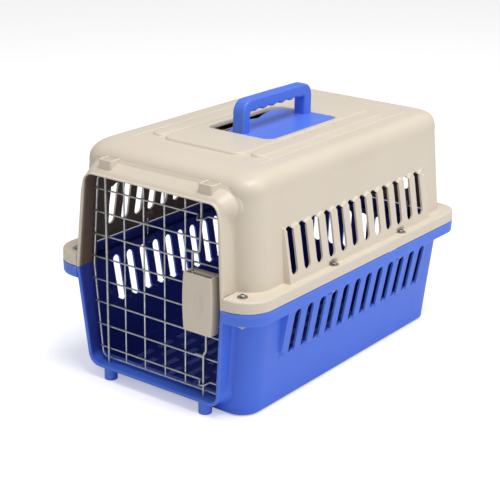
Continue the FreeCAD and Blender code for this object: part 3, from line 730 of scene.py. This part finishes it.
def collar(part):
    """The tube round the door: a closed profile (inner wall, rolled lip, groove, outer wall)
    carried along the opening's outline from one side of the seam to the other. Beside the door
    the outer wall turns into the body through a quarter round; over (or under) the door it
    flares. Also returns how much each point belongs to the shaded inner wall."""
    far = abs(part.far - SEAM_Z)
    lip = [(0.0, 33.0), (0.0, 18.0), (0.0, 8.0), (0.0, 3.0), (0.25, 1.3), (0.9, 0.35),
           (1.9, 0.0), (2.9, 0.0), (3.8, 0.35), (4.4, 1.1), (4.6, 2.0), (4.5, 3.0), (4.0, 3.8),
           (3.4, 4.4), (3.2, 5.4)]
    if part is UPPER:
        flare = [(4.6, 8.0), (6.4, 12.0), (8.7, 18.0), (10.6, 23.0), (11.9, 26.5), (12.9, 28.8),
                 (14.2, 30.2), (16.2, 31.0), (18.0, 34.0)]
    else:
        flare = [(3.5, 8.0), (4.0, 12.0), (5.0, 18.0), (6.4, 24.0), (7.6, 28.0), (8.6, 31.0),
                 (9.2, 33.0), (9.4, 34.0), (9.4, 35.0)]
    round_off = 4.2
    loops = []
    shaded = []
    for number, (grow, depth) in enumerate(lip + flare):
        x, z = opening_path(part, 0.0)
        top = smooth_step(far - 26.0, far - 3.0, z)
        if number < len(lip):
            grow = grow * (1.0 - 0.5 * top) if part is UPPER else grow
            depth = np.full_like(z, depth)
        else:
            turn = (number - len(lip)) / (len(flare) - 2) * math.pi / 2
            turn = min(turn, math.pi / 2)
            side_grow = 3.3 + round_off * (1.0 - math.cos(turn))
            if number == len(lip) + len(flare) - 1:
                side_grow = 3.3 + round_off + 1.2
            face = body_front(part, np.abs(x) + side_grow, z)
            side_depth = face - round_off * (1.0 - math.sin(turn))
            if number == len(lip) + len(flare) - 1:
                side_depth = face + 1.6
            grow = side_grow * (1.0 - top) + grow * top
            depth = side_depth * (1.0 - top) + depth * top
        full_x, full_z = grown_path(part, grow)
        lean = part.slope * np.minimum(full_z, far + 4)
        y = depth + lean * np.clip(1 - depth / 26.0, 0, 1)
        loops.append(np.stack([full_x, y, SEAM_Z + part.sign * full_z], axis=1))
        # painted shade: the share of the darker tone, full on the inner wall, less near the lip,
        # none outside and none on the lower sill
        share = 1.0 if number < 3 else 0.75 if number == 3 else 0.0
        sill = smooth_step(far - 16.0, far - 2.0, z) if part is LOWER else 0.0
        shaded.append(np.full_like(z, share) * (1.0 - sill))
    faces = capped_band(len(loops), len(loops[0]))
    return np.concatenate(loops), faces, np.concatenate(shaded)


def grown_path(part, grow):
    """The opening's outline moved outward by a distance that may change along it."""
    x, z = opening_path(part, 0.0)
    further_x, further_z = opening_path(part, 1.0)
    return x + (further_x - x) * grow, z + (further_z - z) * grow


def inner_shade(made, values):
    """Stores on each point how far it is turned to the shaded inside."""
    layer = made.data.attributes.new("inside", "FLOAT", "POINT")
    layer.data.foreach_set("value", np.asarray(values, dtype=np.float32))


def prism(outline, z0, z1):
    """A flat outline carried straight up."""
    outline = np.asarray(outline, dtype=float)
    n = len(outline)
    points = np.concatenate([np.column_stack([outline, np.full(n, z0)]),
                             np.column_stack([outline, np.full(n, z1)])])
    faces = [[i, (i + 1) % n, (i + 1) % n + n, i + n] for i in range(n)]
    faces.append(list(range(n))[::-1])
    faces.append(list(range(n, 2 * n)))
    return points, faces


def drum(x, y, z0, z1, radius):
    """A round post."""
    turn = np.linspace(0, 2 * math.pi, 49)[:-1]
    return prism(np.stack([x + radius * np.cos(turn), y + radius * np.sin(turn)], axis=1), z0, z1)


def hood(x):
    """The open-topped box over a rod's upper hole: a rounded U of walls on a floor."""
    a, b = x - 10.4, x + 10.4
    turn = np.linspace(-math.pi / 2, 0, 6)
    corner = np.stack([3.0 * np.cos(turn), 3.0 * np.sin(turn)], axis=1)
    front = corner + np.array([b - 3.0, 18.4])
    near = corner[::-1] * np.array([-1.0, 1.0]) + np.array([a + 3.0, 18.4])
    walls = [(b, 42.0), (b - 2.2, 42.0), (b - 2.2, 18.2), (a + 2.2, 18.2), (a + 2.2, 42.0),
             (a, 42.0)]
    outline = np.concatenate([near, front, walls])
    floor = [(a + 1, 16.5), (b - 1, 16.5), (b - 1, 34.0), (a + 1, 34.0)]
    return [prism(outline, 273.5, 289.8), prism(floor, 273.5, 284.0)]


def floor_ribs():
    """Short raised dashes on the cabin floor, in staggered rows."""
    made = []
    for column in range(9):
        x = (column - 4) * 22.0
        start = 66.0 if column % 2 else 84.0
        for step in range(9):
            y = start + step * 40.0
            made.append(prism([(x - 4, y), (x + 4, y), (x + 4, y + 26), (x - 4, y + 26)],
                              WALL - 0.5, WALL + 2.2))
    return made


# ---- handle --------------------------------------------------------------------------------
def grip():
    """The squared U grip: between an outer and an inner curve in the side plane, a chamfered
    rectangle is carried from the foot of the front leg to the foot of the back leg."""
    front, back = HATCH[1] + 1.0, HATCH[2] - 1.0
    base = ROOF_Z - 1.0
    top = GRIP_TOP_Z
    leg_n, turn_n, bar_n = 8, 12, 48

    def curve(y0, y1, z_top, radius, wave):
        """Up the front leg, round, along the bar, round and down the back leg."""
        t = np.linspace(0, 1, leg_n + 1)[:-1]
        up = np.stack([np.full(leg_n, y0), base + (z_top - radius - base) * t], axis=1)
        turn = np.linspace(math.pi, math.pi / 2, turn_n + 1)[:-1]
        first = np.stack([y0 + radius + radius * np.cos(turn),
                          z_top - radius + radius * np.sin(turn)], axis=1)
        y = np.linspace(y0 + radius, y1 - radius, bar_n + 1)
        bar = np.stack([y, z_top + wave(y)], axis=1)
        turn = np.linspace(math.pi / 2, 0, turn_n + 1)[1:]
        second = np.stack([y1 - radius + radius * np.cos(turn),
                           z_top - radius + radius * np.sin(turn)], axis=1)
        down = np.stack([np.full(leg_n, y1), np.linspace(z_top - radius, base, leg_n + 1)[1:]],
                        axis=1)
        return np.concatenate([up, first, bar, second, down])

    outer = curve(front, back, top, 16.5, lambda y: 0 * y)
    span = (back - 17.0) - (front + 14.5)

    def fingers(y):
        """Six shallow waves under the bar."""
        t = (y - (front + 14.5)) / span
        return 1.1 * np.cos(2 * math.pi * 6 * t) * smooth_step(0.02, 0.12, t) \
            * (1 - smooth_step(0.88, 0.98, t)) - 0.6

    inner = curve(front + 14.5, back - 17.0, top - 15.0, 6.0, fingers)
    half, chamfer = 9.0, 2.8
    share = chamfer / 15.0
    rows = []
    for side, height, start in ((1, share, -90), (1, 1 - share, 0), (-1, 1 - share, 90),
                                (-1, share, 180)):
        for turn in np.radians(start + np.arange(0.0, 91.0, 30.0)):
            x = side * (half - chamfer) + chamfer * math.cos(turn)
            m = height + share * math.sin(turn)
            rows.append(np.column_stack([np.full(len(inner), x), inner * (1 - m) + outer * m]))
    return np.concatenate(rows), capped_band(len(rows), len(inner))


def plate():
    """The handle's plate: it fills the hatch on one side and has a wavy edge on the other."""
    half, front, back, radius = HATCH
    g = 0.5
    edge = np.array([(-18.0, front + g), (-21.0, 190.0), (-26.0, 212.0), (-30.5, 232.0),
                     (-32.0, 244.0), (-28.5, 252.0), (-28.0, 259.0), (-31.5, 267.0),
                     (-35.0, 279.0), (-38.5, 293.0), (-39.5, 303.0), (-37.5, 312.0),
                     (-33.0, 318.0), (-26.0, 321.5), (-18.0, 323.5), (-17.0, back - g)])
    turn = np.linspace(math.pi / 2, 0, 9)
    r = radius - g
    right_back = np.stack([half - g - r + r * np.cos(turn), back - g - r + r * np.sin(turn)],
                          axis=1)
    turn = np.linspace(0, -math.pi / 2, 9)
    right_front = np.stack([half - g - r + r * np.cos(turn), front + g + r + r * np.sin(turn)],
                           axis=1)
    outline = np.concatenate([edge, right_back, right_front])[::-1]
    top = ROOF_Z + 3.0 - 0.9
    return prism(outline, top - 3.0, top)


# ---- latch ---------------------------------------------------------------------------------
def latch_tray():
    """The latch's cover: from the back edge of one wall round the front to the other, with bowed
    sides, rounded front edges and a shallow oval dish."""
    left, right, low, high = LATCH
    middle_x, middle_z = (left + right) / 2, (low + high) / 2
    half = (right - left) / 2
    face_y = LATCH_FACE_Y
    radius = 1.6
    back_y = face_y + LATCH_DEPTH
    wall = [(-1.0, back_y), (-1.0, back_y - 4), (-1.0, back_y - 8), (-1.0, face_y + radius)]
    turn = np.linspace(math.pi, 1.5 * math.pi, 6)[1:]
    round_x = -1 + (radius / half) * (1 + np.cos(turn))
    round_y = face_y + radius + radius * np.sin(turn)
    front_u = np.linspace(-1 + radius / half, 1 - radius / half, 33)[1:-1]
    u = np.concatenate([[w[0] for w in wall], round_x, front_u, -round_x[::-1],
                        [-w[0] for w in wall[::-1]]])
    y = np.concatenate([[w[1] for w in wall], round_y, np.full(len(front_u), face_y),
                        round_y[::-1], [w[1] for w in wall[::-1]]])
    z = np.linspace(low, high, 49)
    bow = half + 2.0 * (1 - ((z - middle_z) / (high - low) * 2) ** 2)
    u, zz = np.meshgrid(u, z)
    y = np.broadcast_to(y, u.shape).copy()
    x = middle_x + u * bow[:, None]
    oval = np.hypot((x - middle_x) / 10.5, (zz - middle_z) / 22.0)
    dish = 2.3 * (1 - smooth_step(0.5, 1.0, oval))
    dish = np.where(np.abs(u) < 0.93, dish, 0.0)
    y = y + dish
    points = np.stack([x, y, zz], axis=-1).reshape(-1, 3)
    faces = grid_faces(len(z), u.shape[1])
    return points, faces.tolist()


# ---- finishes ------------------------------------------------------------------------------
def noise(tree, where, scale, detail, rough=0.5):
    """A noise over a place vector."""
    node = tree.nodes.new("ShaderNodeTexNoise")
    node.inputs["Scale"].default_value = scale
    node.inputs["Detail"].default_value = detail
    node.inputs["Roughness"].default_value = rough
    tree.links.new(where, node.inputs["Vector"])
    return node.outputs["Fac"]


def ramp(tree, value, low, high, out_low=0.0, out_high=1.0):
    """A value mapped from one range to another and held at its ends."""
    node = tree.nodes.new("ShaderNodeMapRange")
    for key, number in (("From Min", low), ("From Max", high), ("To Min", out_low),
                        ("To Max", out_high)):
        node.inputs[key].default_value = number
    tree.links.new(value, node.inputs["Value"])
    return node.outputs["Result"]


def mixed(tree, factor, a, b, kind="FLOAT"):
    """Two values or colours mixed by a factor; b is a socket or a fixed colour."""
    node = tree.nodes.new("ShaderNodeMix")
    node.data_type = kind
    tree.links.new(factor, node.inputs["Factor"])
    tree.links.new(a, node.inputs["A"])
    if isinstance(b, tuple):
        node.inputs["B"].default_value = b
    else:
        tree.links.new(b, node.inputs["B"])
    return node.outputs["Result"]


def surface_group(name, second):
    """A group with two colours and a range of roughness in, and a colour, a roughness and a height
    out. Returns it with its input, its output and the place its patterns read."""
    group = bpy.data.node_groups.new(name, "ShaderNodeTree")
    for way, sockets in (("INPUT", (("Color", "Color"), (second, "Color"), ("Rough Low", "Float"),
                                    ("Rough High", "Float"))),
                         ("OUTPUT", (("Color", "Color"), ("Roughness", "Float"),
                                     ("Height", "Float")))):
        for socket, kind in sockets:
            group.interface.new_socket(name=socket, in_out=way, socket_type="NodeSocket" + kind)
    nodes = group.nodes
    source = nodes.new("NodeGroupInput")
    result = nodes.new("NodeGroupOutput")
    place = nodes.new("ShaderNodeTexCoord").outputs["Object"]
    return group, source.outputs, result.inputs, place


def moulded_group():
    """Moulded plastic: a soft drift of tone, a fine grain height and handling marks as roughness."""
    group, given, result, place = surface_group("moulded_surface", "Shade")
    drift = ramp(group, noise(group, place, 9.0, 2.0), 0.35, 0.7)
    tone = mixed(group, drift, given["Color"], given["Shade"], "RGBA")
    edge = group.nodes.new("ShaderNodeNewGeometry").outputs["Pointiness"]
    # Sharp convex edges, found by pointiness, are mixed up to 16 percent toward pale grey.
    lighter_edges = ramp(group, edge, 0.52, 0.62, 0.0, 0.16)
    group.links.new(mixed(group, lighter_edges, tone, (0.9, 0.9, 0.9, 1), "RGBA"), result["Color"])
    marks = ramp(group, noise(group, place, 45.0, 4.0, 0.6), 0.3, 0.75)
    rough = mixed(group, marks, given["Rough Low"], given["Rough High"])
    group.links.new(rough, result["Roughness"])
    group.links.new(noise(group, place, 900.0, 2.0), result["Height"])
    return group


def drawn_group():
    """Zinc-plated wire: dull spots, a slight tone change and a fine grain height."""
    group, given, result, place = surface_group("zinc_surface", "Dull")
    spots = ramp(group, noise(group, place, 220.0, 3.0, 0.6), 0.4, 0.65)
    group.links.new(mixed(group, spots, given["Color"], given["Dull"], "RGBA"), result["Color"])
    rough = mixed(group, spots, given["Rough Low"], given["Rough High"])
    group.links.new(rough, result["Roughness"])
    group.links.new(noise(group, place, 1500.0, 2.0), result["Height"])
    return group


def finish_with(name, group, colours, rough, metallic, grain, specular=0.5):
    """A material that places a group with its own colours, roughness range and grain."""
    material = bpy.data.materials.new(name)
    material.use_nodes = True
    nodes, links = material.node_tree.nodes, material.node_tree.links
    shader = nodes["Principled BSDF"]
    shader.inputs["Metallic"].default_value = metallic
    shader.inputs["Specular IOR Level"].default_value = specular
    placed = nodes.new("ShaderNodeGroup")
    placed.node_tree = group
    placed.inputs[0].default_value = (*colours[0], 1)
    placed.inputs[1].default_value = (*colours[1], 1)
    placed.inputs["Rough Low"].default_value = rough[0]
    placed.inputs["Rough High"].default_value = rough[1]
    links.new(placed.outputs["Color"], shader.inputs["Base Color"])
    links.new(placed.outputs["Roughness"], shader.inputs["Roughness"])
    bump = nodes.new("ShaderNodeBump")
    bump.inputs["Strength"].default_value = grain
    bump.inputs["Distance"].default_value = 0.0002
    links.new(placed.outputs["Height"], bump.inputs["Height"])
    links.new(bump.outputs["Normal"], shader.inputs["Normal"])
    return material


def shaded_inside(name, group, outer, inner, rough, grain):
    """A finish with painted shade: the colour turns to a much darker tone by the inside attribute,
    where the surface faces the cabin.
    """
    material = finish_with(name, group, outer, rough, 0.0, grain)
    tree = material.node_tree
    colour = tree.nodes["Principled BSDF"].inputs["Base Color"]
    where = tree.nodes.new("ShaderNodeAttribute")
    where.attribute_name = "inside"
    # painted shade: mixed toward the darker tone by the inside attribute
    tone = mixed(tree, where.outputs["Fac"], colour.links[0].from_socket, (*inner, 1), "RGBA")
    tree.links.new(tone, colour)
    return material


MOULDED = moulded_group()
DRAWN = drawn_group()
BEIGE_TONES = ((0.70, 0.62, 0.51), (0.68, 0.60, 0.49))
BLUE_TONES = ((0.055, 0.17, 0.80), (0.05, 0.155, 0.76))
BEIGE = finish_with("beige_plastic", MOULDED, BEIGE_TONES, (0.36, 0.46), 0.0, 0.12)
BLUE = finish_with("blue_plastic", MOULDED, BLUE_TONES, (0.34, 0.44), 0.0, 0.12)
# Painted shade: the shells' inner faces take much darker copies of the beige and the blue, rougher
# and less specular, for the shade inside the cabin.
BEIGE_INSIDE_PAINTED_SHADE = finish_with("beige_inside", MOULDED, ((0.20, 0.15, 0.12), (0.17, 0.13, 0.10)),
                           (0.5, 0.62), 0.0, 0.12, 0.25)
BLUE_INSIDE_PAINTED_SHADE = finish_with("blue_inside", MOULDED, ((0.024, 0.04, 0.36), (0.02, 0.035, 0.32)),
                          (0.5, 0.62), 0.0, 0.12, 0.25)
# Painted shade: the floor ribs take a darker copy of the blue, for the shade inside the cabin.
RIB_BLUE_PAINTED_SHADE = finish_with("floor_rib_blue", MOULDED, ((0.06, 0.10, 0.62), (0.05, 0.09, 0.56)),
                       (0.4, 0.5), 0.0, 0.12, 0.3)
# Painted shade: the collars' inner walls are mixed toward these much darker tones.
BEIGE_COLLAR = shaded_inside("beige_collar", MOULDED, BEIGE_TONES, (0.14, 0.095, 0.07),
                             (0.36, 0.46), 0.12)
BLUE_COLLAR = shaded_inside("blue_collar", MOULDED, BLUE_TONES, (0.02, 0.035, 0.30),
                            (0.34, 0.44), 0.12)
WIRE = finish_with("zinc_wire", DRAWN, ((0.62, 0.64, 0.66), (0.48, 0.50, 0.52)),
                   (0.28, 0.42), 1.0, 0.15)
ROD = finish_with("zinc_rod", DRAWN, ((0.50, 0.51, 0.50), (0.40, 0.41, 0.40)),
                  (0.32, 0.45), 1.0, 0.15)
ZINC = finish_with("zinc_fasteners", DRAWN, ((0.46, 0.45, 0.41), (0.34, 0.33, 0.30)),
                   (0.25, 0.38), 1.0, 0.1)
SPRING = finish_with("spring_steel", DRAWN, ((0.5, 0.5, 0.52), (0.42, 0.42, 0.44)),
                     (0.25, 0.35), 1.0, 0.1)

# ---- the pieces ----------------------------------------------------------------------------
upper = build_shell(UPPER, "upper_shell_skin", BEIGE, BEIGE_INSIDE_PAINTED_SHADE, "beige_plastic")
lower = build_shell(LOWER, "lower_shell_skin", BLUE, BLUE_INSIDE_PAINTED_SHADE, "blue_plastic")
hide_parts("upper_shell")
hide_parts("lower_shell")

collars = []
for part, name, finish, slot_name in ((UPPER, "upper_collar", BEIGE_COLLAR, "beige_plastic"),
                                      (LOWER, "lower_collar", BLUE_COLLAR, "blue_plastic")):
    points, faces, shaded = collar(part)
    made = piece(name, points, faces, finish, "shell", slot_name)
    inner_shade(made, shaded)
    collars.append(made)
hoods = piece("rod_hoods", *join([block for x in HOOD_XS for block in hood(x)]),
              BEIGE, "shell", "beige_plastic")
bosses = piece("rod_bosses", *join([drum(x, BOSS_Y, 0.0, 19.5, 8.4) for x in BOSS_XS]),
               BLUE, "shell", "blue_plastic")
near, far, *strip = SIDE_STRIP
strips = piece("roof_strips", *join([raised_panel(near, far, *strip),
                                     raised_panel(-far, -near, *strip), roof_ridge()]),
               BEIGE, "shell", "beige_plastic")
panel = piece("roof_panel", *centre_panel(), BEIGE, "shell", "beige_plastic")
for made in (*collars, hoods, bosses, strips, panel):
    tidy_mesh(made)
soften(hoods, 1.0)
soften(bosses, 0.6)
for made in collars:
    soften(made, 0.5, angle=60.0)

# the ribs wear the darker blue of painted shade
ribs = piece("floor_ribs", *join(floor_ribs()), RIB_BLUE_PAINTED_SHADE, "shell", "blue_plastic")
tidy_mesh(ribs)
soften(ribs, 0.6)

handle_grip = piece("handle_grip", *grip(), BLUE, "shell", "blue_plastic")
handle_plate = piece("handle_plate", *plate(), BLUE, "shell", "blue_plastic")
for made in (handle_grip, handle_plate):
    tidy_mesh(made)
soften(handle_plate, 0.8)
soften(handle_grip, 0.5, angle=60.0)
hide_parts("carry_handle")

latch = piece("latch_tray", *latch_tray(), BEIGE, "latch_slider", "beige_plastic")
tidy_mesh(latch, outward=False)
thicken(latch, 2.2)
soften(latch, 0.45)
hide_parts("latch_cover")

for node_name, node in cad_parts.items():
    if node_name.startswith(("door_row", "door_post", "door_frame")):
        finish = WIRE
    elif node_name in ("door_hinge_rod", "upper_bolt", "lower_bolt"):
        finish = ROD
    elif node_name.startswith("flange_"):
        finish = ZINC
    elif node_name == "latch_spring":
        finish = SPRING
    elif node_name == "latch_base":
        finish = BEIGE
    else:
        continue
    node.data.materials.clear()
    node.data.materials.append(finish)

# ---- floor, light and camera ---------------------------------------------------------------
floor_mesh = bpy.data.meshes.new("floor")
floor_mesh.from_pydata([(-9, -9, 0), (9, -9, 0), (9, 9, 0), (-9, 9, 0)], [], [(0, 1, 2, 3)])
floor = bpy.data.objects.new("floor", floor_mesh)
bpy.context.scene.collection.objects.link(floor)
floor.location.z = -0.0002
pale = bpy.data.materials.new("pale_floor")
pale.use_nodes = True
tree = pale.node_tree
pale_shader = tree.nodes["Principled BSDF"]
pale_shader.inputs["Base Color"].default_value = (0.92, 0.92, 0.92, 1)
pale_shader.inputs["Roughness"].default_value = 0.9
pale_shader.inputs["Emission Color"].default_value = (1, 1, 1, 1)
eye = tree.nodes.new("ShaderNodeLightPath")
lift = tree.nodes.new("ShaderNodeMath")
lift.operation = "MULTIPLY"
lift.inputs[1].default_value = 0.42
tree.links.new(eye.outputs["Is Camera Ray"], lift.inputs[0])
tree.links.new(lift.outputs["Value"], pale_shader.inputs["Emission Strength"])
floor_mesh.materials.append(pale)

scene = bpy.context.scene
scene.view_settings.view_transform = "Standard"
scene.view_settings.look = "None"
world = bpy.data.worlds.new("studio")
scene.world = world
world.use_nodes = True
tree = world.node_tree
lighting = tree.nodes["Background"]
seen = tree.nodes.new("ShaderNodeBackground")
choice = tree.nodes.new("ShaderNodeMixShader")
for number, (backdrop, strength) in enumerate(((lighting, 0.42), (seen, 1.05)), 1):
    backdrop.inputs["Color"].default_value = (1, 1, 1, 1)
    backdrop.inputs["Strength"].default_value = strength
    tree.links.new(backdrop.outputs["Background"], choice.inputs[number])
path = tree.nodes.new("ShaderNodeLightPath")
tree.links.new(path.outputs["Is Camera Ray"], choice.inputs["Fac"])
tree.links.new(choice.outputs["Shader"], tree.nodes["World Output"].inputs["Surface"])


def soft_light(name, place, aim, size, power):
    """A square area light aimed at a point."""
    data = bpy.data.lights.new(name, "AREA")
    data.size = size
    data.energy = power
    lamp = bpy.data.objects.new(name, data)
    scene.collection.objects.link(lamp)
    lamp.location = place
    lamp.rotation_euler = (Vector(aim) - Vector(place)).to_track_quat("-Z", "Y").to_euler()
    return lamp


soft_light("key", (0.6, -0.25, 2.4), (0, 0, 0.15), 1.2, 37.0)
soft_light("side", (2.2, 0.5, 1.5), (0, 0, 0.15), 1.5, 13.0)

TURN = math.radians(36.89)
TILT = math.radians(19.88)
ROLL = math.radians(0.89)
AIM = Vector((0.0, 0.240 - Y_MIDDLE * 0.001, 0.150))
SIDE_STEP, RISE_STEP, DISTANCE = 0.02042, 0.01910, 1.81141
LENS = 1359.49 / 500.0 * 36.0
right = Vector((math.cos(TURN), math.sin(TURN), 0.0))
behind = Vector((math.sin(TURN) * math.cos(TILT), -math.cos(TURN) * math.cos(TILT),
                 math.sin(TILT)))
above = behind.cross(right)
across = right * math.cos(ROLL) + above * math.sin(ROLL)
upward = above * math.cos(ROLL) - right * math.sin(ROLL)
camera_data = bpy.data.cameras.new("camera")
camera_data.sensor_width = 36.0
camera_data.lens = LENS
camera_data.clip_start = 0.05
camera = bpy.data.objects.new("camera", camera_data)
scene.collection.objects.link(camera)
spot = AIM - across * SIDE_STEP - upward * RISE_STEP + behind * DISTANCE
camera.matrix_world = Matrix(((across.x, upward.x, behind.x, spot.x),
                              (across.y, upward.y, behind.y, spot.y),
                              (across.z, upward.z, behind.z, spot.z),
                              (0, 0, 0, 1)))
scene.camera = camera
